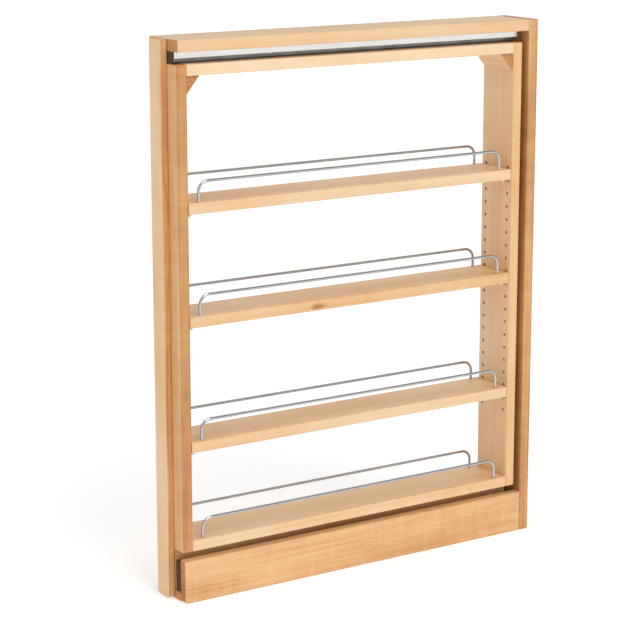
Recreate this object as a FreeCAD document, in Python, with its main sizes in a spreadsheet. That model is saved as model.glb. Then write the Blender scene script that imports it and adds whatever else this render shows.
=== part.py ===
# Rolling pantry cart: a tall narrow cabinet organizer whose shelf unit rolls out of a fixed frame.
#
# Row frame: +Z up, the front faces -Y, +X is the right-hand side seen from the front.
# The origin is the middle of the bounding box at floor level.

import FreeCAD, Part
import math
import os
import re
import Sketcher

Vector = FreeCAD.Vector

# Driving dimensions in millimetres: alias, value, meaning.
DIMENSIONS = [
    ("frame_width", 76.2, "outer width of the fixed frame"),
    ("frame_depth", 584.2, "front plane to the back of the frame"),
    ("frame_height", 762.0, "floor to the top of the frame"),
    ("frame_board", 16.0, "thickness of the frame's top and rear boards"),
    ("front_gap", 0.5, "frame set back from the front plane"),
    ("skirt_height", 60.0, "height of the two base skirts"),
    ("skirt_thick", 12.7, "thickness of a base skirt"),
    ("base_thick", 12.0, "thickness of the base plate"),
    ("unit_width", 70.0, "width of the sliding shelf unit"),
    ("unit_depth", 558.8, "depth of the sliding shelf unit"),
    ("unit_board", 15.0, "thickness of its boards and shelves"),
    ("unit_low", 71.6, "underside of the shelf unit"),
    ("unit_high", 729.8, "top of the shelf unit"),
    ("edge_ease", 0.8, "rounding of the boards' edges"),
    ("toe_round", 5.0, "rounding of the skirts' front lower corners"),
    ("strip_round", 6.0, "rounding of the strip's lower corners"),
    ("shelf_level", 548.4, "top face of the upper shelf"),
    ("shelf_gap", 0.5, "clearance at each end of a shelf"),
    ("pin_pitch", 19.05, "spacing of the shelf pin holes"),
    ("pin_radius", 2.5, "radius of a shelf pin"),
    ("pin_reach", 8.0, "length of a pin under the shelf"),
    ("pin_sunk", 9.0, "length of a pin inside the board"),
    ("pin_chamfer", 0.5, "chamfer at a pin's end"),
    ("pin_inset", 9.5, "pin hole columns from the board's edges"),
    ("pin_drop", 0.3, "clearance between the pins and the shelf"),
    ("pin_extra", 1, "spare pin holes beyond the upper and lower shelves' own"),
    ("middle_steps", 8, "pin holes from the middle shelf up to the upper one"),
    ("lower_steps", 17, "pin holes from the lower shelf up to the upper one"),
    ("wire_radius", 2.0, "radius of the rail wire"),
    ("wire_inset", 5.0, "rail centre line from the shelf's edge"),
    ("wire_rise", 27.5, "rail centre line above the shelf"),
    ("wire_bend", 14.0, "bend radius of the rail's corners"),
    ("wire_sunk", 9.0, "length of a rail's leg inside the shelf"),
    ("wire_front", 33.0, "front leg from the front plane"),
    ("wire_rear", 525.0, "rear leg from the front plane"),
    ("strip_width", 32.0, "width of the mounting strip"),
    ("strip_thick", 9.5, "thickness of the mounting strip"),
    ("strip_shift", -5.9, "strip centre line from the frame's middle"),
    ("strip_foot", 1.5, "strip's lower end above the floor"),
    ("block_deep", 21.0, "corner block along the rail"),
    ("block_tall", 26.0, "corner block along the upright"),
    ("block_wide", 64.0, "corner block across the unit"),
    ("runner_width", 25.4, "width of the runner between the lower slides"),
    ("runner_low", 14.0, "underside of the runner"),
    ("slide_length", 555.3, "length of every slide member"),
    ("slide_centre", 35.0, "height of the lower slides' middle"),
    ("slide_thick", 12.7, "thickness of a lower slide"),
    ("slide_wall", 1.2, "steel thickness of the slide members"),
    ("slide_bend", 1.0, "outside bend radius of the slide members"),
    ("slide_play", 0.6, "gap between the webs and the ball cages"),
    ("outer_half", 22.0, "half height of an outer member"),
    ("middle_half", 15.8, "half height of a middle member"),
    ("inner_half", 9.6, "half height of an inner member"),
    ("outer_flange", 9.0, "flange depth of an outer member"),
    ("middle_flange", 7.7, "flange depth of a middle member"),
    ("cap_thick", 3.0, "thickness of a slide's front cap"),
    ("cap_gap", 0.5, "gap between a cap and the members behind it"),
    ("cap_play", 0.4, "clearance round a cap"),
    ("cap_plug", 12.0, "length of a cap's plug inside the inner member"),
    ("cap_fit", 0.1, "clearance of the plug in the inner member"),
    ("cage_wall", 0.7, "steel thickness of a ball cage"),
    ("cage_flange", 6.6, "flange depth of a ball cage"),
    ("cage_length", 240.0, "length of a ball cage"),
    ("ball_radius", 2.25, "radius of a ball"),
    ("ball_play", 0.1, "clearance of a ball in its cage"),
    ("ball_pitch", 24.0, "spacing of the balls"),
    ("outer_balls_drop", 5.6, "outer balls' centres from the fixed side"),
    ("inner_balls_drop", 5.3, "inner balls' centres from the middle member's web"),
    ("fixing_edge", 50.0, "outermost slide screws from the member's ends"),
    ("fixing_head", 3.2, "head radius of a slide screw"),
    ("fixing_shank", 1.5, "shank radius of a slide screw"),
    ("fixing_length", 11.0, "length of a slide screw"),
    ("fixing_recess", 0.8, "depth of a slide screw's cross recess"),
    ("screw_head", 4.0, "head radius of a board screw"),
    ("screw_sunk", 3.0, "head height of a board screw"),
    ("screw_shank", 1.9, "shank radius of a board screw"),
    ("screw_long", 38.0, "length of a board screw"),
    ("screw_short", 21.0, "length of a strip screw"),
    ("screw_play", 0.05, "radial clearance of screws and pins in their holes"),
    ("screw_tip", 2.5, "length of a screw's point"),
    ("screw_recess", 1.8, "depth of a board screw's cross recess"),
    ("recess_reach", 0.62, "half length of a recess's arm, of the head's radius"),
    ("recess_slim", 0.14, "half width of a recess's arm, of the head's radius"),
    ("hole_spare", 0.5, "blind holes are this much deeper than what they hold"),
    ("top_spread", 22.0, "rear screws in the top board from the middle"),
    ("base_spread", 15.0, "rear screws in the base plate from the middle"),
    ("unit_spread", 18.0, "shelf unit's rear screws from the middle"),
    ("front_spread", 8.0, "shelf unit's front screws from the strip's middle"),
]
BALLS_PER_SIDE = 10
STRIP_SCREW_LEVELS = ("170", "320", "480", "640")

# Derived positions, as expressions of the cells.
FRONT = "((strip_thick - frame_depth) / 2)"
FRAME_REAR = f"({FRONT} + frame_depth)"
FRAME_INNER = f"({FRAME_REAR} - frame_board)"
FRAME_FRONT = f"({FRONT} + front_gap)"
FRAME_RUN = "(frame_depth - frame_board - front_gap)"
TOP_UNDER = "(frame_height - frame_board)"
UNIT_REAR = f"({FRONT} + unit_depth)"
BAY_FRONT = f"({FRONT} + unit_board)"
BAY_RUN = "(unit_depth - 2 * unit_board)"
UNIT_TALL = "(unit_high - unit_low)"
FLOOR_LEVEL = "(unit_low + unit_board)"
RAIL_LEVEL = "(unit_high - unit_board)"
SHELF_LEVELS = {
    "shelf_upper": "shelf_level",
    "shelf_middle": "(shelf_level - middle_steps * pin_pitch)",
    "shelf_lower": "(shelf_level - lower_steps * pin_pitch)",
}
TOP_SLIDE_THICK = f"({TOP_UNDER} - unit_high)"
SLIDE_FRONT = f"({FRONT} + front_gap + cap_thick + cap_gap)"
SLIDE_SPOTS = ("fixing_edge", "slide_length / 2", "(slide_length - fixing_edge)")

doc = FreeCAD.newDocument("pantry_cart")
dims = doc.addObject("Spreadsheet::Sheet", "dims")
for row, (alias, value, meaning) in enumerate(DIMENSIONS, start=1):
    dims.set(f"A{row}", alias)
    dims.set(f"B{row}", str(value))
    dims.set(f"C{row}", meaning)
    dims.setAlias(f"B{row}", alias)
doc.recompute()

ALIASES = {alias for alias, value, meaning in DIMENSIONS}
NODES = []
CUTS = []
CORNERS = {}
TINY = 1e-4

# For each drilling axis: origin plane, sign of the sketch normal along that axis,
# and the two row axes that the sketch's own x and y run along.
PLANES = {
    "x": ("YZ_Plane", 1, (1, 2)),
    "y": ("XZ_Plane", -1, (0, 2)),
    "z": ("XY_Plane", 1, (0, 1)),
}


def cells(text):
    """The expression with each alias written as a reference to the sheet."""
    return re.sub(r"[a-z_]+", lambda m: "dims." + m.group() if m.group() in ALIASES else m.group(), text)


def number(text):
    """The present value of an expression, for a sketch's first guess."""
    return float(dims.evalExpression(cells(text)))


def bind(target, prop, text):
    target.setExpression(prop, cells(text))


def locate(target, point, prop="Placement"):
    for axis, text in zip("xyz", point):
        bind(target, f"{prop}.Base.{axis}", text)


def new_body(label, point=None, rotation=None):
    body = doc.addObject("PartDesign::Body", label)
    body.Label = label
    if rotation:
        body.Placement = FreeCAD.Placement(Vector(), FreeCAD.Rotation(*rotation))
    if point:
        locate(body, point)
    return body


def new_sketch(body, axis, start="0"):
    """A sketch square to the axis, start along it from the body's own origin."""
    role, normal, _ = PLANES[axis]
    sketch = body.newObject("Sketcher::SketchObject", body.Label + "_sketch")
    plane = [item for item in body.Origin.OriginFeatures if item.Role == role][0]
    sketch.AttachmentSupport = [(plane, "")]
    sketch.MapMode = "FlatFace"
    bind(sketch, "AttachmentOffset.Base.z", f"{normal} * ({start})")
    return sketch


def dimension(sketch, kind, geometry, point, text):
    """One dimension whose value is an expression."""
    place = (geometry, point) if point else (geometry,)
    index = sketch.addConstraint(Sketcher.Constraint(kind, *place, number(text)))
    bind(sketch, f"Constraints[{index}]", text)


def polygon(sketch, points):
    """A closed outline whose corners are all dimensioned from the sketch's origin."""
    count = len(points)
    spots = [Vector(number(across), number(up), 0) for across, up in points]
    first = sketch.GeometryCount
    for index in range(count):
        sketch.addGeometry(Part.LineSegment(spots[index], spots[(index + 1) % count]), False)
    for index in range(count):
        after = first + (index + 1) % count
        sketch.addConstraint(Sketcher.Constraint("Coincident", first + index, 2, after, 1))
    for index, (across, up) in enumerate(points):
        dimension(sketch, "DistanceX", first + index, 1, across)
        dimension(sketch, "DistanceY", first + index, 1, up)


def circles(sketch, centres, radius):
    for across, up in centres:
        spot = Vector(number(across), number(up), 0)
        index = sketch.addGeometry(Part.Circle(spot, Vector(0, 0, 1), number(radius)), False)
        dimension(sketch, "DistanceX", index, 3, across)
        dimension(sketch, "DistanceY", index, 3, up)
        dimension(sketch, "Radius", index, None, radius)


def pad(body, sketch, length, reverse=False):
    solid = body.newObject("PartDesign::Pad", body.Label + "_pad")
    solid.Profile = sketch
    solid.Reversed = reverse
    bind(solid, "Length", length)
    return solid


def pocket(body, sketch, axis, depth, sense):
    """A cut that runs along the axis in the given sense, +1 or -1."""
    cut = body.newObject("PartDesign::Pocket", body.Label + "_pocket")
    cut.Profile = sketch
    cut.Reversed = sense == PLANES[axis][1]
    bind(cut, "Length", depth)
    CUTS.append(cut)
    return cut


def round_edges(body, base, radius, names=None):
    rounding = body.newObject("PartDesign::Fillet", body.Label + "_rounding")
    rounding.Base = (base, names or ["Edge1"])
    rounding.UseAllEdges = names is None
    bind(rounding, "Radius", radius)
    return rounding


def long_edges(solid, wanted):
    """Names of the straight edges whose bounding box passes the given test."""
    doc.recompute()
    return [f"Edge{index}" for index, edge in enumerate(solid.Shape.Edges, start=1) if wanted(edge.BoundBox)]


def board(label, low, size, corners=None, corner_round=None):
    """A rectangular board with eased edges, its low corner at the given point."""
    body = new_body(label, low)
    sketch = new_sketch(body, "z")
    polygon(sketch, [("0", "0"), (size[0], "0"), (size[0], size[1]), ("0", size[1])])
    solid = pad(body, sketch, size[2])
    if corners:
        solid = round_edges(body, solid, corner_round, long_edges(solid, corners))
    round_edges(body, solid, "edge_ease")
    CORNERS[label] = low
    NODES.append(body)
    return body


def drill(body, axis, mouth, centres, radius, depth, sense):
    """Round holes in a board: mouth and centres are in the row frame."""
    low = CORNERS[body.Label]
    spread = PLANES[axis][2]
    own = [tuple(f"({spot[i]}) - ({low[spread[i]]})" for i in (0, 1)) for spot in centres]
    sketch = new_sketch(body, axis, f"({mouth}) - ({low['xyz'.index(axis)]})")
    circles(sketch, own, radius)
    return pocket(body, sketch, axis, depth, sense), sketch


def sink_screw(body, axis, mouth, centres, sense):
    """A counterbore and a through hole for board screws."""
    drill(body, axis, mouth, centres, "screw_head + screw_play", "screw_sunk", sense)
    drill(body, axis, mouth, centres, "screw_shank + screw_play", "unit_board + frame_board", sense)


def link_group(label, master, places):
    """Separate copies of one fastener under one name."""
    links = []
    for point, rotation in places:
        link = doc.addObject("App::Link", label + "_item")
        link.LinkedObject = master
        link.LinkTransform = False
        link.Placement = FreeCAD.Placement(Vector(), FreeCAD.Rotation(*rotation))
        locate(link, point)
        links.append(link)
    group = doc.addObject("Part::Compound", label)
    group.Label = label
    group.Links = links
    NODES.append(group)


def turned(label, outline):
    """A solid of revolution about its own Z axis, from half its section."""
    body = new_body(label)
    sketch = new_sketch(body, "y")
    polygon(sketch, outline)
    turn = body.newObject("PartDesign::Revolution", label + "_turn")
    turn.Profile = sketch
    turn.ReferenceAxis = (sketch, ["V_Axis"])
    turn.Angle = 360
    return body


def screw(label, head, head_height, shank, length, recess):
    """A flat-headed wood screw with a cross recess, its head's face at z = 0."""
    head, head_height, shank, length = f"({head})", f"({head_height})", f"({shank})", f"({length})"
    body = turned(label, [
        ("0", "0"), (head, "0"), (head, f"-{head_height}"), (shank, f"-{head_height}"),
        (shank, f"screw_tip - {length}"), ("0", f"-{length}")])
    sketch = new_sketch(body, "z")
    wide, slim = f"({head} * recess_reach)", f"({head} * recess_slim)"
    plus = [(wide, f"-{slim}"), (wide, slim), (slim, slim), (slim, wide)]
    plus += [(f"-{slim}", wide), (f"-{slim}", slim), (f"-{wide}", slim), (f"-{wide}", f"-{slim}")]
    plus += [(f"-{slim}", f"-{slim}"), (f"-{slim}", f"-{wide}"), (slim, f"-{wide}"), (slim, f"-{slim}")]
    polygon(sketch, plus)
    pocket(body, sketch, "z", recess, -1)
    return body


# Ways to turn a fastener whose head faces +Z.
HEAD_UP = (Vector(1, 0, 0), 0)
HEAD_DOWN = (Vector(1, 0, 0), 180)
HEAD_REAR = (Vector(1, 0, 0), -90)
HEAD_FRONT = (Vector(1, 0, 0), 90)
HEAD_RIGHT = (Vector(0, 1, 0), 90)
HEAD_LEFT = (Vector(0, 1, 0), -90)

# ---------------------------------------------------------------- fixed frame
top_board = board("top_board", ("-frame_width / 2", FRAME_FRONT, TOP_UNDER),
                  ("frame_width", FRAME_RUN, "frame_board"))
rear_board = board("rear_board", ("-frame_width / 2", FRAME_INNER, "0"),
                   ("frame_width", "frame_board", "frame_height"))
base_plate = board("base_plate", ("skirt_thick - frame_width / 2", FRAME_FRONT, "0"),
                   ("frame_width - 2 * skirt_thick", FRAME_RUN, "base_thick"))
skirt_size = ("skirt_thick", FRAME_RUN, "skirt_height")
skirt_right = board("skirt_right", ("frame_width / 2 - skirt_thick", FRAME_FRONT, "0"), skirt_size,
                    lambda box: box.YMax < TINY and box.ZMax < TINY, "toe_round")
skirt_left = board("skirt_left", ("-frame_width / 2", FRAME_FRONT, "0"), skirt_size,
                   lambda box: box.YMax < TINY and box.ZMax < TINY, "toe_round")

SKIRT_MIDDLE = "(frame_width / 2 - skirt_thick / 2)"
rear_screws = {
    "top_board": [(f"{sign}top_spread", "frame_height - frame_board / 2") for sign in ("", "-")],
    "skirt_right": [(SKIRT_MIDDLE, "skirt_height / 2")],
    "skirt_left": [(f"-{SKIRT_MIDDLE}", "skirt_height / 2")],
    "base_plate": [(f"{sign}base_spread", "base_thick / 2") for sign in ("", "-")],
}
rear_spots = [spot for spots in rear_screws.values() for spot in spots]
sink_screw(rear_board, "y", FRAME_REAR, rear_spots, -1)
for piece in (top_board, skirt_right, skirt_left, base_plate):
    drill(piece, "y", FRAME_INNER, rear_screws[piece.Label], "screw_shank + screw_play",
          "screw_long - frame_board + hole_spare", -1)

# ---------------------------------------------------------------- sliding shelf unit
front_board = board("front_board", ("-unit_width / 2", FRONT, "unit_low"),
                    ("unit_width", "unit_board", UNIT_TALL))
unit_rear_board = board("unit_rear_board", ("-unit_width / 2", f"{UNIT_REAR} - unit_board", "unit_low"),
                        ("unit_width", "unit_board", UNIT_TALL))
top_rail = board("top_rail", ("-unit_width / 2", BAY_FRONT, RAIL_LEVEL),
                 ("unit_width", BAY_RUN, "unit_board"))
bottom_board = board("bottom_board", ("-unit_width / 2", BAY_FRONT, "unit_low"),
                     ("unit_width", BAY_RUN, "unit_board"))
runner = board("runner", ("-runner_width / 2", FRONT, "runner_low"),
               ("runner_width", "unit_depth", "unit_low - runner_low"))
mounting_strip = board("mounting_strip",
                       ("strip_shift - strip_width / 2", f"{FRONT} - strip_thick", "strip_foot"),
                       ("strip_width", "strip_thick", "frame_height - strip_foot"),
                       lambda box: box.ZMax < TINY and box.YLength > 1, "strip_round")

rail_height = "unit_high - unit_board / 2"
floor_height = "unit_low + unit_board / 2"
unit_rear_spots = [(f"{sign}unit_spread", height)
                   for height in (rail_height, floor_height) for sign in ("", "-")]
unit_front_spots = [(f"strip_shift {sign} front_spread", height)
                    for height in (rail_height, floor_height) for sign in "+-"]
sink_screw(unit_rear_board, "y", UNIT_REAR, unit_rear_spots, -1)
sink_screw(front_board, "y", FRONT, unit_front_spots, 1)
for piece, rows in ((top_rail, slice(0, 2)), (bottom_board, slice(2, 4))):
    drill(piece, "y", f"{UNIT_REAR} - unit_board", unit_rear_spots[rows], "screw_shank + screw_play",
          "screw_long - unit_board + hole_spare", -1)
    drill(piece, "y", BAY_FRONT, unit_front_spots[rows], "screw_shank + screw_play",
          "screw_long - unit_board + hole_spare", 1)

# Screws that hold the strip go in from inside the bay.
strip_spots = [("strip_shift", level) for level in STRIP_SCREW_LEVELS]
sink_screw(front_board, "y", BAY_FRONT, strip_spots, -1)
drill(mounting_strip, "y", FRONT, strip_spots, "screw_shank + screw_play",
      "screw_short - unit_board + hole_spare", -1)

# Two columns of shelf pin holes in each upright.
PIN_SIDE = "(unit_width / 2 - pin_inset)"
PIN_DROP = "(unit_board + pin_radius + pin_drop)"
HOLE_STEPS = "(lower_steps + 2 * pin_extra)"
low_hole = f"(shelf_level - {PIN_DROP} - (lower_steps + pin_extra) * pin_pitch)"
for piece, mouth, sense in ((front_board, BAY_FRONT, -1), (unit_rear_board, f"{UNIT_REAR} - unit_board", 1)):
    cut, sketch = drill(piece, "y", mouth, [(PIN_SIDE, low_hole), (f"-{PIN_SIDE}", low_hole)],
                        "pin_radius + screw_play", "pin_sunk + hole_spare", sense)
    pattern = piece.newObject("PartDesign::LinearPattern", piece.Label + "_pin_holes")
    pattern.Originals = [cut]
    pattern.Direction = (sketch, ["V_Axis"])
    bind(pattern, "Length", f"{HOLE_STEPS} * pin_pitch")
    bind(pattern, "Occurrences", f"{HOLE_STEPS} + 1")
    piece.Tip = pattern
    CUTS.append(pattern)


def corner_block(label, corner, sense):
    """A triangular block under the top rail, against an upright."""
    body = new_body(label, ("-block_wide / 2", corner, RAIL_LEVEL))
    sketch = new_sketch(body, "x")
    polygon(sketch, [("0", "0"), ("0", "-block_tall"), (f"{sense} * block_deep", "0")])
    round_edges(body, pad(body, sketch, "block_wide"), "edge_ease")
    NODES.append(body)


corner_block("corner_block_front", BAY_FRONT, 1)
corner_block("corner_block_rear", f"{UNIT_REAR} - unit_board", -1)

# ---------------------------------------------------------------- shelves, rails and pins
WIRE_SIDE = "(unit_width / 2 - wire_inset)"
WIRE_RUN = "(wire_rear - wire_front)"
WIRE_TALL = "(wire_sunk + wire_rise)"


def rail(label, side, level):
    """A wire bent into a long low hoop, both legs sunk into the board below."""
    body = new_body(label, (side, f"{FRONT} + wire_front", f"{level} - wire_sunk"))
    section = new_sketch(body, "z")
    circles(section, [("0", "0")], "wire_radius")
    path = new_sketch(body, "x")
    run, tall, bend = number(WIRE_RUN), number(WIRE_TALL), number("wire_bend")
    near, far = Vector(bend, tall - bend, 0), Vector(run - bend, tall - bend, 0)
    up = Vector(0, 0, 1)
    lines = [
        Part.LineSegment(Vector(0, 0, 0), Vector(0, tall - bend, 0)),
        Part.ArcOfCircle(Part.Circle(near, up, bend), math.pi / 2, math.pi),
        Part.LineSegment(Vector(bend, tall, 0), Vector(run - bend, tall, 0)),
        Part.ArcOfCircle(Part.Circle(far, up, bend), 0, math.pi / 2),
        Part.LineSegment(Vector(run, tall - bend, 0), Vector(run, 0, 0)),
    ]
    path.addGeometry(lines, False)
    for one, end, other, start in ((0, 2, 1, 2), (1, 1, 2, 1), (2, 2, 3, 2), (3, 1, 4, 1)):
        path.addConstraint(Sketcher.Constraint("Tangent", one, end, other, start))
    path.addConstraint(Sketcher.Constraint("Vertical", 0))
    path.addConstraint(Sketcher.Constraint("Horizontal", 2))
    path.addConstraint(Sketcher.Constraint("Vertical", 4))
    dimension(path, "DistanceX", 0, 1, "0")
    dimension(path, "DistanceY", 0, 1, "0")
    dimension(path, "DistanceX", 4, 2, WIRE_RUN)
    dimension(path, "DistanceY", 4, 2, "0")
    dimension(path, "DistanceY", 2, 1, WIRE_TALL)
    dimension(path, "Radius", 1, None, "wire_bend")
    dimension(path, "Radius", 3, None, "wire_bend")
    pipe = body.newObject("PartDesign::AdditivePipe", label + "_wire")
    pipe.Profile = section
    pipe.Spine = path
    NODES.append(body)


def rails_on(piece, level):
    """The right and left rails of a shelf, and the holes their legs stand in."""
    spots = [(f"{sign} * {WIRE_SIDE}", f"{FRONT} + {reach}")
             for sign in ("1", "-1") for reach in ("wire_front", "wire_rear")]
    drill(piece, "z", level, spots, "wire_radius + screw_play", "wire_sunk + hole_spare", -1)
    base_name = piece.Label.replace("_board", "")
    rail(f"{base_name}_rail_right", WIRE_SIDE, level)
    rail(f"{base_name}_rail_left", f"-{WIRE_SIDE}", level)


rails_on(bottom_board, FLOOR_LEVEL)

pin = turned("pin_master", [
    ("0", "0"), ("pin_radius", "0"), ("pin_radius", "pin_sunk + pin_reach - pin_chamfer"),
    ("pin_radius - pin_chamfer", "pin_sunk + pin_reach"), ("0", "pin_sunk + pin_reach")])

for name, level in SHELF_LEVELS.items():
    shelf = board(name, ("-unit_width / 2", f"{BAY_FRONT} + shelf_gap", f"{level} - unit_board"),
                  ("unit_width", f"{BAY_RUN} - 2 * shelf_gap", "unit_board"))
    rails_on(shelf, level)
    height = f"{level} - {PIN_DROP}"
    places = []
    for side in (PIN_SIDE, f"-{PIN_SIDE}"):
        places.append(((side, f"{BAY_FRONT} - pin_sunk", height), HEAD_REAR))
        places.append(((side, f"{UNIT_REAR} - unit_board + pin_sunk", height), HEAD_FRONT))
    link_group(f"{name}_pins", pin, places)

# ---------------------------------------------------------------- ball slides
# A slide's own frame: x across its height, y along it, z from the moving side (0) to the fixed side.


def channel(label, place, half, web, flange, wall, opens, length, start="0"):
    """A steel channel with rounded bends; opens is +1 or -1, the way its flanges point."""
    point, rotation = place
    body = new_body(label, point, rotation)
    sketch = new_sketch(body, "y", start)
    tip = f"({web} + {opens} * {flange})"
    floor = f"({web} + {opens} * {wall})"
    inside = f"({half} - {wall})"
    polygon(sketch, [
        (f"-({half})", tip), (f"-({half})", web), (half, web), (half, tip),
        (inside, tip), (inside, floor), (f"-{inside}", floor), (f"-{inside}", tip)])
    solid = pad(body, sketch, length, reverse=True)
    NODES.append(body)
    return body, solid


def member(label, place, half, web, flange, opens, screwed):
    """A full-length slide member, with its screw holes where it is screwed down."""
    body, solid = channel(label, place, half, web, flange, "slide_wall", opens, "slide_length")
    level, side = number(web), number(half)
    bends = long_edges(solid, lambda box: box.YLength > 1 and abs(box.ZMax - level) < TINY
                       and abs(box.ZMin - level) < TINY and abs(abs(box.XMin) - side) < TINY)
    round_edges(body, solid, "slide_bend", bends)
    if screwed:
        sketch = new_sketch(body, "z", web)
        circles(sketch, [("0", spot) for spot in SLIDE_SPOTS], "fixing_head + screw_play")
        pocket(body, sketch, "z", "slide_wall", opens)


def ball_cage(label, place, half, web, balls_at):
    """A thin channel that keeps two rows of balls, and the balls themselves."""
    point, rotation = place
    start = "(slide_length - cage_length) / 2"
    body, solid = channel(label, place, f"({half} + cage_wall / 2)", web, "cage_flange", "cage_wall",
                          -1, "cage_length", start)
    sketch = new_sketch(body, "x", f"{half} + 1")
    first = f"({start} + (cage_length - {BALLS_PER_SIDE - 1} * ball_pitch) / 2)"
    along = [f"({first} + {index} * ball_pitch)" for index in range(BALLS_PER_SIDE)]
    circles(sketch, [(spot, balls_at) for spot in along], "ball_radius + ball_play")
    pocket(body, sketch, "x", f"2 * ({half} + 1)", -1)
    balls = []
    for side in ("1", "-1"):
        for spot in along:
            ball = doc.addObject("Part::Sphere", label + "_ball")
            bind(ball, "Radius", "ball_radius")
            locate(ball, (f"{side} * {half}", spot, balls_at))
            balls.append(ball)
    group = doc.addObject("Part::Compound", label.replace("cage", "balls"))
    group.Label = group.Name
    group.Links = balls
    group.Placement = FreeCAD.Placement(Vector(), FreeCAD.Rotation(*rotation))
    locate(group, point)
    NODES.append(group)


def cap(label, place, thick, plug_end):
    """A plate over the slide's front end, with a plug that sits in the inner member."""
    point, rotation = place
    body = new_body(label, point, rotation)
    high, low, end = "(outer_half - cap_play)", "(inner_half - slide_wall - cap_fit)", f"({thick} - cap_play)"
    sketch = new_sketch(body, "y", "-(cap_thick + cap_gap)")
    polygon(sketch, [(f"-{high}", "0"), (high, "0"), (high, end), (f"-{high}", end)])
    round_edges(body, pad(body, sketch, "cap_thick", reverse=True), "edge_ease")
    sketch = new_sketch(body, "y", "-cap_gap")
    base = "(slide_wall + cap_fit)"
    polygon(sketch, [(f"-{low}", base), (low, base), (low, plug_end), (f"-{low}", plug_end)])
    pad(body, sketch, "cap_gap + cap_plug", reverse=True)
    NODES.append(body)


def slide(name, point, rotation, thick):
    """Three telescoping members with a cage of balls between each two, and a cap at the front."""
    place = (point, rotation)
    middle_web = f"({thick} - slide_wall - cage_wall - 2 * slide_play)"
    inner_tip = f"({middle_web} - slide_wall - cage_wall - 2 * slide_play)"
    member(f"{name}_outer", place, "outer_half", thick, "outer_flange", -1, True)
    member(f"{name}_middle", place, "middle_half", middle_web, "middle_flange", -1, False)
    member(f"{name}_inner", place, "inner_half", "0", inner_tip, 1, True)
    cap(f"{name}_cap", place, thick, inner_tip)
    outer_row = "((outer_half - slide_wall + middle_half) / 2)"
    inner_row = "((middle_half - slide_wall + inner_half) / 2)"
    ball_cage(f"{name}_cage_outer", place, outer_row, f"({thick} - slide_wall - slide_play)",
              f"({thick} - outer_balls_drop)")
    ball_cage(f"{name}_cage_inner", place, inner_row, f"({middle_web} - slide_wall - slide_play)",
              f"({middle_web} - inner_balls_drop)")


RUNNER_SIDE = "(runner_width / 2)"
slide("slide_top", ("0", SLIDE_FRONT, "unit_high"), HEAD_UP, TOP_SLIDE_THICK)
slide("slide_right", (RUNNER_SIDE, SLIDE_FRONT, "slide_centre"), HEAD_RIGHT, "slide_thick")
slide("slide_left", (f"-{RUNNER_SIDE}", SLIDE_FRONT, "slide_centre"), HEAD_LEFT, "slide_thick")

# ---------------------------------------------------------------- screws and their pilot holes
board_screw = screw("board_screw_master", "screw_head", "screw_sunk", "screw_shank", "screw_long",
                    "screw_recess")
strip_screw = screw("strip_screw_master", "screw_head", "screw_sunk", "screw_shank", "screw_short",
                    "screw_recess")
fixing = screw("fixing_master", "fixing_head", "slide_wall", "fixing_shank", "fixing_length",
               "fixing_recess")

link_group("rear_screws", board_screw, [((x, FRAME_REAR, z), HEAD_REAR) for x, z in rear_spots])
link_group("unit_rear_screws", board_screw, [((x, UNIT_REAR, z), HEAD_REAR) for x, z in unit_rear_spots])
link_group("unit_front_screws", board_screw, [((x, FRONT, z), HEAD_FRONT) for x, z in unit_front_spots])
link_group("strip_screws", strip_screw, [((x, BAY_FRONT, z), HEAD_REAR) for x, z in strip_spots])

along = [f"({SLIDE_FRONT} + {spot})" for spot in SLIDE_SPOTS]
SKIRT_FACE = "(frame_width / 2 - skirt_thick)"
outer_fixings = [(("0", spot, f"{TOP_UNDER} - slide_wall"), HEAD_DOWN) for spot in along]
outer_fixings += [((f"{SKIRT_FACE} - slide_wall", spot, "slide_centre"), HEAD_LEFT) for spot in along]
outer_fixings += [((f"slide_wall - {SKIRT_FACE}", spot, "slide_centre"), HEAD_RIGHT) for spot in along]
inner_fixings = [(("0", spot, "unit_high + slide_wall"), HEAD_UP) for spot in along]
inner_fixings += [((f"{RUNNER_SIDE} + slide_wall", spot, "slide_centre"), HEAD_RIGHT) for spot in along]
inner_fixings += [((f"-{RUNNER_SIDE} - slide_wall", spot, "slide_centre"), HEAD_LEFT) for spot in along]
link_group("frame_slide_screws", fixing, outer_fixings)
link_group("unit_slide_screws", fixing, inner_fixings)

PILOT = "(fixing_shank + screw_play)"
PILOT_DEEP = "(fixing_length - slide_wall + hole_spare)"
across = [("0", spot) for spot in along]
beside = [(spot, "slide_centre") for spot in along]
drill(top_board, "z", TOP_UNDER, across, PILOT, PILOT_DEEP, 1)
drill(top_rail, "z", "unit_high", across, PILOT, PILOT_DEEP, -1)
drill(skirt_right, "x", SKIRT_FACE, beside, PILOT, PILOT_DEEP, 1)
drill(skirt_left, "x", f"-{SKIRT_FACE}", beside, PILOT, PILOT_DEEP, -1)
drill(runner, "x", RUNNER_SIDE, beside, PILOT, PILOT_DEEP, -1)
drill(runner, "x", f"-{RUNNER_SIDE}", beside, PILOT, PILOT_DEEP, 1)

# ---------------------------------------------------------------- checks and export
doc.recompute()
for item in doc.Objects:
    if "Invalid" in item.State or "Error" in item.State:
        raise RuntimeError(f"{item.Label} did not recompute: {item.State}")
for cut in CUTS:
    before = cut.Originals[0] if cut.isDerivedFrom("PartDesign::LinearPattern") else cut.BaseFeature
    if cut.Shape.Volume >= before.Shape.Volume - 1e-3:
        raise RuntimeError(f"{cut.Label} removes nothing")
for node in NODES:
    if node.Shape.isNull() or not node.Shape.isValid():
        raise RuntimeError(f"{node.Label} has no valid shape")

os.makedirs("parts", exist_ok=True)
for node in NODES:
    node.Shape.exportStep(f"parts/{node.Label}.step")
print(len(NODES), "sub-parts written")
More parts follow.
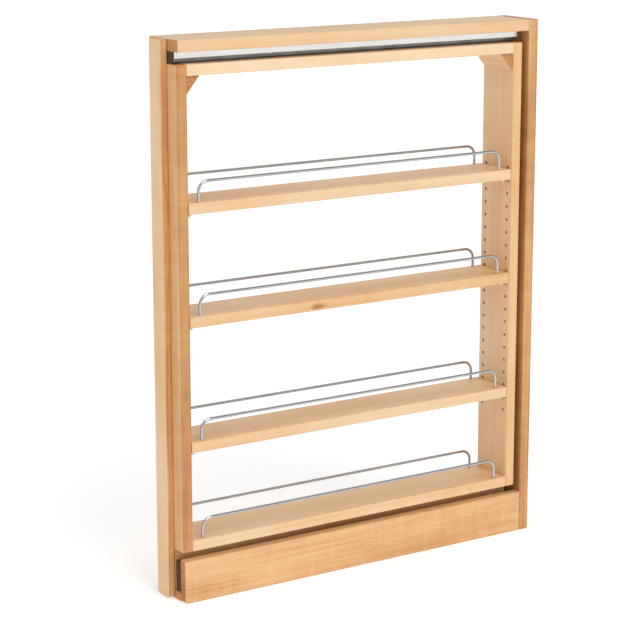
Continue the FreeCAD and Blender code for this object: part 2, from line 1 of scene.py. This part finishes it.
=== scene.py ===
# Looks of the rolling pantry cart: a lacquered maple shelf unit that rolls out of a fixed maple frame,
# with chrome wire rails and zinc-plated ball slides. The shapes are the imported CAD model's own.
# Metres and degrees, except where a name ends in _MM. Row frame: +Z up, the front faces -Y.

import math

import bmesh
import bpy
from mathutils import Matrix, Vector


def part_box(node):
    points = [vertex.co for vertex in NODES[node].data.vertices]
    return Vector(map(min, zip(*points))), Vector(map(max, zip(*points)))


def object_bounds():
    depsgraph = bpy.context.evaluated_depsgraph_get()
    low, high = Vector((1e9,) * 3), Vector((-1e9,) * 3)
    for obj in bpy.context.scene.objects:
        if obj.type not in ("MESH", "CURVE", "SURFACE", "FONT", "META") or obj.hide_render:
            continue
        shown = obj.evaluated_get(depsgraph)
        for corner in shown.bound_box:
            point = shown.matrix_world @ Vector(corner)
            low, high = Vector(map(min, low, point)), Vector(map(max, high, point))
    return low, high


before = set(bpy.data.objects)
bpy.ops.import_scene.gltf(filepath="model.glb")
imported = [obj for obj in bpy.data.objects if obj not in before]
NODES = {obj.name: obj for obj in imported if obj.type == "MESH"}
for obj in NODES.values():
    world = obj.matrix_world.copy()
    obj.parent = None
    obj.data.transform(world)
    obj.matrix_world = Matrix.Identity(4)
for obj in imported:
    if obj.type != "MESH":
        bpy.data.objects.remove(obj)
CAD_BOX = [list(corner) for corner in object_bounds()]
MM = 0.001

# Camera: where it stands round the object, and how its lens frames it.
CAMERA_AZIMUTH = 57.65
CAMERA_ELEVATION = 12.0
CAMERA_DISTANCE = 2.856
CAMERA_AIM_OFFSET = Vector((-0.029, -0.029, 0.042))
CAMERA_LENS = 114.5
CAMERA_SHIFT = -0.08

# Studio: soft suns as (azimuth, elevation, strength, angle across).
SUNS = {
    "key_light": (94, 46, 1.5, 36),
    "front_light": (10, 38, 0.6, 50),
    "rear_light": (215, 45, 0.3, 60),
}
SKY_STRENGTH = 1.0
SKY_BANDS = (
    # (height from straight down 0 to straight up 1, grey level)
    (0.0, 1.0),
    (0.50, 1.0),
    (0.53, 0.88),
    (0.60, 0.52),
    (0.75, 0.40),
    (1.0, 0.36),
)
FLOOR_RADIUS = 60.0
FLOOR_DROP = 0.2 * MM
FLOOR_COLOUR = (0.70, 0.70, 0.70)
FLOOR_MOTTLE = 0.985
FLOOR_GLOW = 0.45

# Maple from its palest to its darkest shade, in linear light.
MAPLE_SHADES = (
    (0.0, (0.84, 0.64, 0.42)),
    (0.3, (0.775, 0.54, 0.32)),
    (0.55, (0.72, 0.43, 0.20)),
    (0.75, (0.58, 0.285, 0.105)),
    (1.0, (0.34, 0.125, 0.035)),
)
DRILLED_SHADE = (0.84, 0.60, 0.36)

# Every maple node: the axis its grain runs along, a shade from 0 (pale) to 1 (amber), how much
# darker its faces on +X and -X are, and the spacing of its growth rings in millimetres. A board's
# number in this list is the seed of its grain.
BOARDS = {
    "top_board": ("Y", 0.33, 0.0, 3.2),
    "rear_board": ("Z", 0.66, 0.07, 2.8),
    "base_plate": ("Y", 0.45, 0.0, 3.4),
    "skirt_left": ("Y", 0.50, 0.0, 2.6),
    "skirt_right": ("Y", 0.58, 0.0, 3.0),
    # The rear block's dark tone is partly painted shade, for its sloped face that faces down.
    "corner_block_rear": ("X", 0.52, -0.04, 3.4),
    "unit_rear_board": ("Z", 0.35, 0.11, 3.6),
    "top_rail": ("Y", 0.12, 0.0, 3.1),
    "bottom_board": ("Y", 0.34, 0.0, 2.7),
    # The runner's dark tone is partly painted shade, for the gap under the unit where it shows.
    "runner": ("Y", 0.62, 0.0, 3.3),
    # The strip's +X and -X faces are darker partly from edge grain and partly as painted shade of the
    # narrow recess beside them.
    "mounting_strip": ("Z", 0.45, 0.25, 2.4),
    "corner_block_front": ("X", 0.50, 0.0, 3.0),
    "front_board": ("Z", 0.55, 0.22, 2.2),
    "shelf_upper": ("Y", 0.36, -0.08, 2.9),
    "shelf_middle": ("Y", 0.38, 0.07, 3.5),
    "shelf_lower": ("Y", 0.37, -0.05, 2.5),
}
# How much darker the cut ends of a board are, where it isn't the usual amount.
CUT_SHADE = 0.30
CUT_SHADES = {"top_board": 0.46, "rear_board": 0.18}
# How much darker the faces towards -Y are: painted shade on the rear board's inner face, which looks
# into the gap behind the unit inside the frame.
GAP_PAINTED_SHADES = {"rear_board": 0.12}
# Boards whose sloped face lies inside their box, so that depth in the box doesn't mean a drilled hole.
SLOPED = ("corner_block_front", "corner_block_rear")
# Depth in a board's box from which a face is the wall of a drilled hole, and how far a board's edges
# are worn: where each starts, and where it is complete or over.
DRILLED_DEPTH_MM = (1.2, 2.4)
WORN_EDGE_MM = (0.2, 2.6)
# A normal's part along an axis, from where a face starts to count as square to it to where it does.
SQUARE_TO = (0.75, 0.95)
# Steps between two boards' places in the noise, so that no two boards look alike.
SEED_STEP_MM = (311.0, 173.0, 719.0)

# The tree's pith runs beside a board. For both directions across the grain: how far it is from the
# board's middle and how far it strays from there, in millimetres, and the angle in radians from one
# board to the next whose sine says which way it strays.
PITH_LYING = ((0, 12, 5.1), (-58, -20, 1.0))
PITH_UPRIGHT = ((52, 15, 1.0), (0, 20, 3.7))
# Bends of the growth rings: their size across and along the grain, and how far they push a ring.
RING_BENDS_MM = ((80, 520, 34), (14, 130, 3.4))
# Where in a ring the dark latewood starts and where it is darkest, as a part of the ring.
LATEWOOD = (0.35, 0.93)

# The small knot on a shelf's right edge, and how far it is from the shelf's front and from its top.
KNOT_BOARD = "shelf_middle"
KNOT_FROM_FRONT_MM = 200
KNOT_BELOW_TOP_MM = 9
KNOT_SIZE_MM = 4.6
KNOT_WIDTH_TO_LENGTH = 0.34
KNOT_SHADE = 0.34


class Graph:
    """A node tree, and short calls that add nodes to it and join them."""

    def __init__(self, tree):
        self.tree = tree
        self.coords = self.add("ShaderNodeTexCoord").outputs

    def put(self, socket, value):
        if isinstance(value, bpy.types.NodeSocket):
            self.tree.links.new(value, socket)
        else:
            socket.default_value = value

    def add(self, kind, inputs=None, **settings):
        node = self.tree.nodes.new(kind)
        for key, value in settings.items():
            setattr(node, key, value)
        for key, value in (inputs or {}).items():
            self.put(node.inputs[key], value)
        return node

    def math(self, operation, *values):
        node = self.add("ShaderNodeMath", operation=operation)
        for place, value in enumerate(values):
            self.put(node.inputs[place], value)
        return node.outputs[0]

    def vector(self, operation, *values, output=0):
        node = self.add("ShaderNodeVectorMath", operation=operation)
        for place, value in enumerate(values):
            self.put(node.inputs[place], value)
        return node.outputs[output]

    def split(self, vector):
        return self.add("ShaderNodeSeparateXYZ", {0: vector}).outputs

    def joined(self, x, y, z):
        return self.add("ShaderNodeCombineXYZ", {0: x, 1: y, 2: z}).outputs[0]

    def noise(self, vector, detail=2.0, roughness=0.5, distortion=0.0):
        inputs = {
            "Vector": vector,
            "Scale": 1.0,
            "Detail": detail,
            "Roughness": roughness,
            "Distortion": distortion,
        }
        return self.add("ShaderNodeTexNoise", inputs).outputs[0]

    def scaled(self, vector, x, y, z):
        return self.vector("MULTIPLY", vector, (x, y, z))

    def millimetres(self, vector=None):
        """A vector in metres, or else the object coordinates, in millimetres."""
        metres = self.coords["Object"] if vector is None else vector
        return self.scaled(metres, 1 / MM, 1 / MM, 1 / MM)

    def remap(self, value, low, high, to_low=0.0, to_high=1.0, smooth=True):
        """value from low to high becomes to_low to to_high, held at both ends."""
        kind = "SMOOTHSTEP" if smooth else "LINEAR"
        inputs = {"Value": value, "From Min": low, "From Max": high, "To Min": to_low, "To Max": to_high}
        return self.add("ShaderNodeMapRange", inputs, interpolation_type=kind).outputs[0]

    def ramp(self, value, stops):
        node = self.add("ShaderNodeValToRGB", {"Fac": value})
        elements = node.color_ramp.elements
        while len(elements) < len(stops):
            elements.new(0.5)
        for element, (place, colour) in zip(elements, stops):
            element.position = place
            element.color = (*colour, 1.0)
        return node.outputs["Color"]

    def blend(self, amount, first, second):
        """first where amount is 0, second where it is 1."""
        node = self.add("ShaderNodeMix", data_type="RGBA")
        colours = [socket for socket in node.inputs if socket.type == "RGBA"]
        self.put(node.inputs[0], amount)
        for socket, value in zip(colours, (first, second)):
            self.put(socket, value if isinstance(value, bpy.types.NodeSocket) else (*value, 1.0))
        return next(socket for socket in node.outputs if socket.type == "RGBA")

    def weighted(self, *pairs):
        """Sum of value times weight over the pairs."""
        total = 0.0
        for value, weight in pairs:
            total = self.math("MULTIPLY_ADD", value, weight, total)
        return total


class Surface(Graph):
    """A new material's nodes, and the shader that they end in."""

    def __init__(self, name):
        self.material = bpy.data.materials.new(name)
        self.material.use_nodes = True
        super().__init__(self.material.node_tree)
        self.shader = self.tree.nodes["Principled BSDF"]

    def bump(self, height, depth_mm, strength=1.0):
        inputs = {"Height": height, "Distance": depth_mm * MM, "Strength": strength}
        self.put(self.shader.inputs["Normal"], self.add("ShaderNodeBump", inputs).outputs[0])

    def finish(self, **sockets):
        """Sets the shader's own sockets; underscores stand for the spaces in their names."""
        for name, value in sockets.items():
            self.put(self.shader.inputs[name.replace("_", " ")], value)
        return self.material


# ---------------------------------------------------------------- maple


def across_first(grain):
    """The axes' places in XYZ: the two across the grain, then the one along it."""
    return [place for place, axis in enumerate("XYZ") if axis != grain] + ["XYZ".index(grain)]


def along_grain(graph, grain, seed):
    """Object coordinates in millimetres, turned so that z runs along the grain, plain and seeded."""
    parts = graph.split(graph.millimetres())
    plain = graph.joined(*(parts[place] for place in across_first(grain)))
    return plain, graph.vector("ADD", plain, [step * seed for step in SEED_STEP_MM])


def pith_beside(node, grain, seed):
    """Where the tree's pith ran: two coordinates across the grain, in millimetres."""
    low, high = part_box(node)
    rules = PITH_UPRIGHT if grain == "Z" else PITH_LYING
    return [
        (low[place] + high[place]) / 2 / MM + offset + stray * math.sin(turn * seed)
        for place, (offset, stray, turn) in zip(across_first(grain), rules)
    ]


def growth_rings(graph, plain, place, pith, spacing):
    """Thin dark lines of latewood round a pith beside the board, bent by slow and by quick noise."""
    offset = graph.vector("SUBTRACT", plain, (*pith, 0.0))
    radius = graph.vector("LENGTH", graph.scaled(offset, 1, 1, 0), output=1)
    pushes = [(radius, 1 / spacing)]
    for detail, (across, along, push) in enumerate(RING_BENDS_MM, start=1):
        bend = graph.noise(graph.scaled(place, 1 / across, 1 / across, 1 / along), detail)
        pushes.append((bend, push / spacing))
    bent = graph.weighted(*pushes)
    ring = graph.math("FLOOR", bent)
    part = graph.math("SUBTRACT", bent, ring)
    start, darkest = LATEWOOD
    rise = graph.remap(part, start, darkest)
    fall = graph.remap(part, darkest, 1.0, 1.0, 0.0)
    line = graph.math("MULTIPLY", rise, fall)
    strength = graph.add("ShaderNodeTexWhiteNoise", {"W": ring}, noise_dimensions="1D").outputs[0]
    return graph.math("MULTIPLY", line, graph.math("MULTIPLY", strength, strength))


def depth_in_box(graph, node):
    """How deep a point lies in the node's box, and how far along its face the nearest edge is, in mm."""
    low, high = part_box(node)
    middle = (low + high) / 2
    half = (high - low) / 2
    offset = graph.vector("ABSOLUTE", graph.vector("SUBTRACT", graph.coords["Object"], middle))
    a, b, c = graph.split(graph.millimetres(graph.vector("SUBTRACT", half, offset)))[:3]
    smaller = graph.math("MINIMUM", a, b)
    larger = graph.math("MAXIMUM", a, b)
    depth = graph.math("MINIMUM", smaller, c)
    edge = graph.math("MAXIMUM", smaller, graph.math("MINIMUM", larger, c))
    return depth, edge


def facing(graph, axis):
    """1 on faces square to that axis, 0 on the rest."""
    part = graph.split(graph.coords["Normal"])["XYZ".index(axis)]
    return graph.remap(graph.math("ABSOLUTE", part), *SQUARE_TO)


def facing_front(graph):
    """1 on the faces towards -Y, 0 on the rest."""
    start, end = SQUARE_TO
    return graph.remap(graph.split(graph.coords["Normal"])[1], -end, -start, 1.0, 0.0)


def knot(graph):
    """A small tight knot, drawn out along the grain: 1 at its centre, with a soft rim."""
    low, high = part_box(KNOT_BOARD)
    centre = (high.x / MM, low.y / MM + KNOT_FROM_FRONT_MM, high.z / MM - KNOT_BELOW_TOP_MM)
    offset = graph.vector("SUBTRACT", graph.millimetres(), centre)
    wobble = graph.noise(graph.scaled(offset, 0.2, 0.2, 0.2), 2.0)
    distance = graph.vector("LENGTH", graph.scaled(offset, 1.0, KNOT_WIDTH_TO_LENGTH, 1.0), output=1)
    bent = graph.math("MULTIPLY_ADD", wobble, 2.5, distance)
    return graph.remap(bent, KNOT_SIZE_MM * 0.5, KNOT_SIZE_MM * 1.6, 1.0, 0.0)


def cloud(graph, place, across_scale, along_scale, detail=2.0, distortion=0.0):
    """Noise drawn out along the grain, from 0 to 1."""
    stretched = graph.scaled(place, across_scale, across_scale, along_scale)
    return graph.remap(graph.noise(stretched, detail, 0.55, distortion), 0.3, 0.7, smooth=False)


def maple(node, grain, tone, sides, spacing, seed):
    """Clear-lacquered maple with its rings, fibres, flecks, slow shading and cut ends."""
    graph = Surface(f"maple_{node}")
    plain, place = along_grain(graph, grain, seed)
    rings = growth_rings(graph, plain, place, pith_beside(node, grain, seed), spacing)
    fibres = cloud(graph, place, 2.4, 0.055, 3.0)
    streaks = cloud(graph, place, 0.28, 0.005)
    shading = cloud(graph, place, 0.02, 0.0045)
    curl = cloud(graph, place, 0.012, 0.07, 1.0, 0.6)
    flecks = graph.remap(cloud(graph, place, 1.5, 0.22), 0.78, 1.0)
    cut = facing(graph, grain)
    pores = graph.remap(cloud(graph, place, 1.9, 1.9, 3.0), 0.55, 0.9)
    depth, edge = depth_in_box(graph, node)
    worn = graph.remap(edge, *WORN_EDGE_MM, 1.0, 0.0)

    spread = ((fibres, 0.10), (streaks, 0.13), (shading, 0.20), (curl, 0.06))
    dark = graph.weighted(
        *spread,
        (rings, 0.11),
        (flecks, 0.07),
        (cut, CUT_SHADES.get(node, CUT_SHADE)),
        (graph.math("MULTIPLY", cut, pores), 0.10),
        (facing(graph, "X"), sides),
        (worn, 0.08),
    )
    middle = sum(weight for _, weight in spread) / 2
    shade = graph.math("ADD", dark, tone - middle)
    # Painted shade on the faces towards -Y, for the dark gap behind the unit.
    if node in GAP_PAINTED_SHADES:
        shade = graph.math("MULTIPLY_ADD", facing_front(graph), GAP_PAINTED_SHADES[node], shade)
    if node == KNOT_BOARD:
        shade = graph.math("MULTIPLY_ADD", knot(graph), KNOT_SHADE, shade)
    colour = graph.ramp(shade, MAPLE_SHADES)
    gloss = graph.weighted((fibres, 0.06), (rings, 0.03), (shading, 0.06), (cut, 0.12), (worn, 0.04))
    roughness = graph.math("ADD", gloss, 0.36)
    height = graph.weighted((fibres, 0.5), (rings, 0.35), (flecks, -0.4), (pores, 0.15))

    if node not in SLOPED:
        drilled = graph.remap(depth, *DRILLED_DEPTH_MM)
        colour = graph.blend(drilled, colour, DRILLED_SHADE)
        roughness = graph.math("MULTIPLY_ADD", drilled, 0.35, roughness)
    graph.bump(height, 0.03, 0.6)
    return graph.finish(
        Base_Color=colour,
        Roughness=roughness,
        Specular_IOR_Level=0.38,
        Coat_Weight=0.08,
        Coat_Roughness=0.25,
    )


# ---------------------------------------------------------------- metals and plastic


def chrome_wire(name):
    """Bright chrome plate on drawn wire: faint draw lines, small clouds in the gloss."""
    graph = Surface(name)
    place = graph.millimetres()
    lines = graph.noise(graph.scaled(place, 4.0, 0.08, 4.0), 2.0)
    clouds = graph.noise(graph.scaled(place, 0.06, 0.02, 0.06), 3.0)
    pits = graph.remap(graph.noise(graph.scaled(place, 2.6, 2.6, 2.6), 2.0), 0.68, 0.78)
    tint = graph.weighted((clouds, 0.6), (lines, 0.25), (pits, 0.3))
    colour = graph.blend(tint, (0.65, 0.68, 0.73), (0.34, 0.355, 0.38))
    roughness = graph.math("ADD", graph.weighted((clouds, 0.12), (lines, 0.06), (pits, 0.2)), 0.02)
    graph.bump(graph.weighted((lines, 0.4), (pits, -0.5)), 0.01, 0.5)
    return graph.finish(Base_Color=colour, Metallic=1.0, Roughness=roughness)


def zinc_sheet(name):
    """Cold-rolled zinc-plated strip: roll lines along Y, small spangles, oily smudges."""
    graph = Surface(name)
    place = graph.millimetres()
    lines = graph.noise(graph.scaled(place, 3.2, 0.03, 3.2), 3.0, 0.6)
    smudges = graph.noise(graph.scaled(place, 0.05, 0.018, 0.05), 3.0, 0.6)
    cells = graph.add("ShaderNodeTexVoronoi", {"Vector": place, "Scale": 0.28, "Randomness": 1.0})
    spangles = graph.split(cells.outputs["Color"])[0]
    tint = graph.weighted((lines, 0.30), (smudges, 0.35), (spangles, 0.06))
    colour = graph.blend(tint, (0.90, 0.89, 0.87), (0.58, 0.56, 0.53))
    roughness = graph.math("ADD", graph.weighted((lines, 0.14), (smudges, 0.20), (spangles, 0.02)), 0.10)
    graph.bump(graph.weighted((lines, 0.5), (spangles, 0.02)), 0.012, 0.5)
    return graph.finish(Base_Color=colour, Metallic=1.0, Roughness=roughness)


def greased_strip_with_painted_shade(name):
    """The strip of a slide's two inner members: zinc under a thin film of grease, its dark colour partly
    painted shade for the shadow inside the slide.
    """
    graph = Surface(name)
    place = graph.millimetres()
    lines = graph.noise(graph.scaled(place, 3.2, 0.03, 3.2), 3.0, 0.6)
    grease = graph.noise(graph.scaled(place, 0.10, 0.035, 0.10), 4.0, 0.6)
    film = graph.remap(grease, 0.25, 0.75)
    tint = graph.weighted((film, 0.55), (lines, 0.35))
    # Dark colours partly painted shade, standing in for the shadow between the slide's members.
    colour = graph.blend(tint, (0.34, 0.335, 0.33), (0.19, 0.18, 0.17))
    roughness = graph.math("ADD", graph.weighted((film, 0.10), (lines, 0.14)), 0.24)
    graph.bump(graph.weighted((lines, 0.4), (film, 0.2)), 0.012, 0.5)
    return graph.finish(Base_Color=colour, Metallic=1.0, Roughness=roughness)


def brown_plastic_painted_shade(name):
    """Dark brown moulded plastic: fine spark-eroded texture, a few paler scuffs and some dust; its dark
    brown is partly painted shade, the colour of wood in shadow in each slide's mouth.
    """
    graph = Surface(name)
    place = graph.millimetres()
    texture = graph.noise(graph.scaled(place, 3.4, 3.4, 3.4), 2.0, 0.6)
    scuffs = graph.remap(graph.noise(graph.scaled(place, 1.6, 0.3, 0.5), 4.0, 0.6), 0.60, 0.74)
    dust = graph.noise(graph.scaled(place, 0.12, 0.12, 0.12), 4.0, 0.6)
    tint = graph.weighted((texture, 0.3), (scuffs, 0.35), (dust, 0.35))
    # Painted shade: a brown as dark as shaded wood, to darken each slide's mouth.
    colour = graph.blend(tint, (0.050, 0.024, 0.012), (0.125, 0.072, 0.042))
    roughness = graph.math("ADD", graph.weighted((texture, 0.16), (scuffs, -0.08), (dust, 0.2)), 0.38)
    graph.bump(graph.weighted((texture, 1.0), (scuffs, -0.3)), 0.03, 0.7)
    return graph.finish(Base_Color=colour, Roughness=roughness, Specular_IOR_Level=0.25)


def cage_sheet(name):
    """Thin stamped steel of the ball cages, darker with a film of grease."""
    graph = Surface(name)
    place = graph.millimetres()
    lines = graph.noise(graph.scaled(place, 5.0, 0.05, 5.0), 2.0)
    grease = graph.noise(graph.scaled(place, 0.16, 0.09, 0.16), 4.0, 0.6)
    film = graph.remap(grease, 0.42, 0.66)
    tint = graph.weighted((film, 0.7), (lines, 0.3))
    colour = graph.blend(tint, (0.56, 0.555, 0.55), (0.25, 0.22, 0.17))
    roughness = graph.math("ADD", graph.weighted((film, -0.14), (lines, 0.16)), 0.36)
    graph.bump(graph.weighted((lines, 0.4), (film, 0.3)), 0.02, 0.6)
    return graph.finish(Base_Color=colour, Metallic=1.0, Roughness=roughness)


def polished_ball(name):
    """Hardened polished steel with fine haze."""
    graph = Surface(name)
    place = graph.millimetres()
    haze = graph.noise(graph.scaled(place, 0.9, 0.9, 0.9), 4.0, 0.6)
    colour = graph.blend(haze, (0.78, 0.785, 0.80), (0.52, 0.50, 0.46))
    roughness = graph.remap(haze, 0.3, 0.7, 0.04, 0.22)
    graph.bump(haze, 0.003, 0.4)
    return graph.finish(Base_Color=colour, Metallic=1.0, Roughness=roughness)


def screw_plate(name):
    """Zinc-plated screws: slightly yellow, with fine marks and duller stains."""
    graph = Surface(name)
    place = graph.millimetres()
    grain = graph.noise(graph.scaled(place, 3.0, 0.8, 3.0), 3.0, 0.6)
    stain = graph.noise(graph.scaled(place, 0.35, 0.35, 0.35), 3.0)
    tint = graph.weighted((grain, 0.5), (stain, 0.5))
    colour = graph.blend(graph.remap(tint, 0.3, 0.7), (0.74, 0.73, 0.68), (0.42, 0.39, 0.31))
    roughness = graph.math("ADD", graph.weighted((grain, 0.22), (stain, 0.14)), 0.12)
    graph.bump(grain, 0.02, 0.6)
    return graph.finish(Base_Color=colour, Metallic=1.0, Roughness=roughness)


def nickel_pin(name):
    """Nickel-plated turned pins: rings round them, a warm tint."""
    graph = Surface(name)
    place = graph.millimetres()
    turned = graph.noise(graph.scaled(place, 0.1, 5.0, 0.1), 2.0)
    haze = graph.noise(graph.scaled(place, 0.4, 0.4, 0.4), 3.0)
    tint = graph.weighted((turned, 0.4), (haze, 0.4))
    colour = graph.blend(tint, (0.80, 0.76, 0.69), (0.46, 0.42, 0.35))
    roughness = graph.math("ADD", graph.weighted((turned, 0.2), (haze, 0.14)), 0.1)
    graph.bump(turned, 0.015, 0.6)
    return graph.finish(Base_Color=colour, Metallic=1.0, Roughness=roughness)


# ---------------------------------------------------------------- stage, light, camera


def floor_material():
    """Pale matt studio floor with a very faint mottle."""
    graph = Surface("studio_floor")
    mottle = graph.noise(graph.scaled(graph.coords["Object"], 3.0, 3.0, 3.0), 3.0)
    colour = graph.blend(mottle, FLOOR_COLOUR, tuple(FLOOR_MOTTLE * part for part in FLOOR_COLOUR))
    roughness = graph.remap(mottle, 0.3, 0.7, 0.75, 0.9)
    graph.bump(mottle, 0.2, 0.1)
    return graph.finish(
        Base_Color=colour,
        Roughness=roughness,
        Specular_IOR_Level=0.15,
        Emission_Color=(1.0, 1.0, 1.0, 1.0),
        Emission_Strength=FLOOR_GLOW,
    )


def make_floor():
    shape = bmesh.new()
    bmesh.ops.create_circle(shape, cap_ends=True, radius=FLOOR_RADIUS, segments=96)
    mesh = bpy.data.meshes.new("studio_floor")
    shape.to_mesh(mesh)
    shape.free()
    floor = bpy.data.objects.new("studio_floor", mesh)
    floor.location.z = -FLOOR_DROP
    bpy.context.scene.collection.objects.link(floor)
    mesh.materials.append(floor_material())


def direction_from(azimuth, elevation):
    """Unit vector from the object towards that side: azimuth 0 is the front, 90 the right."""
    a = math.radians(azimuth)
    e = math.radians(elevation)
    return Vector((math.sin(a) * math.cos(e), -math.cos(a) * math.cos(e), math.sin(e)))


def make_suns():
    for name, (azimuth, elevation, strength, across) in SUNS.items():
        light = bpy.data.lights.new(name, "SUN")
        light.energy = strength
        light.angle = math.radians(across)
        lamp = bpy.data.objects.new(name, light)
        lamp.rotation_mode = "QUATERNION"
        lamp.rotation_quaternion = direction_from(azimuth, elevation).to_track_quat("Z", "Y")
        bpy.context.scene.collection.objects.link(lamp)


def make_sky():
    """Studio surround, white up to the horizon and greyer overhead, which chrome reflects."""
    world = bpy.data.worlds.new("studio")
    bpy.context.scene.world = world
    world.use_nodes = True
    graph = Graph(world.node_tree)
    height = graph.remap(graph.split(graph.coords["Generated"])[2], -1.0, 1.0, smooth=False)
    bands = graph.ramp(height, [(place, (grey, grey, grey)) for place, grey in SKY_BANDS])
    background = graph.tree.nodes["Background"].inputs
    graph.put(background["Strength"], SKY_STRENGTH)
    graph.put(background["Color"], bands)


def make_camera():
    low, high = (Vector(corner) for corner in CAD_BOX)
    away = direction_from(CAMERA_AZIMUTH, CAMERA_ELEVATION)
    aim = (low + high) / 2 + CAMERA_AIM_OFFSET
    data = bpy.data.cameras.new("camera")
    data.lens = CAMERA_LENS
    data.shift_y = CAMERA_SHIFT
    camera = bpy.data.objects.new("camera", data)
    camera.location = aim + away * CAMERA_DISTANCE
    camera.rotation_mode = "QUATERNION"
    camera.rotation_quaternion = (-away).to_track_quat("-Z", "Y")
    bpy.context.scene.collection.objects.link(camera)
    bpy.context.scene.camera = camera


def dress():
    """Gives every CAD node its material."""
    greased_and_shaded = greased_strip_with_painted_shade("greased_strip_with_painted_shade")
    hardware = {
        # part of a node's name, looked for in this order
        "rail_": chrome_wire("rail_wire"),
        "_balls_": polished_ball("slide_ball"),
        "_cage_": cage_sheet("ball_cage"),
        "_pins": nickel_pin("shelf_pin"),
        "screws": screw_plate("zinc_screw"),
        "_cap": brown_plastic_painted_shade("cap_plastic_painted_shade"),
        "_outer": zinc_sheet("slide_strip"),
        "_middle": greased_and_shaded,
        "_inner": greased_and_shaded,
    }
    for number, (name, facts) in enumerate(BOARDS.items(), start=1):
        NODES[name].material_slots[0].material = maple(name, *facts, number)
    for name, node in NODES.items():
        if name in BOARDS:
            continue
        found = next(material for part, material in hardware.items() if part in name)
        node.material_slots[0].material = found


dress()
make_floor()
make_suns()
make_sky()
make_camera()
bpy.context.scene.view_settings.view_transform = "Standard"
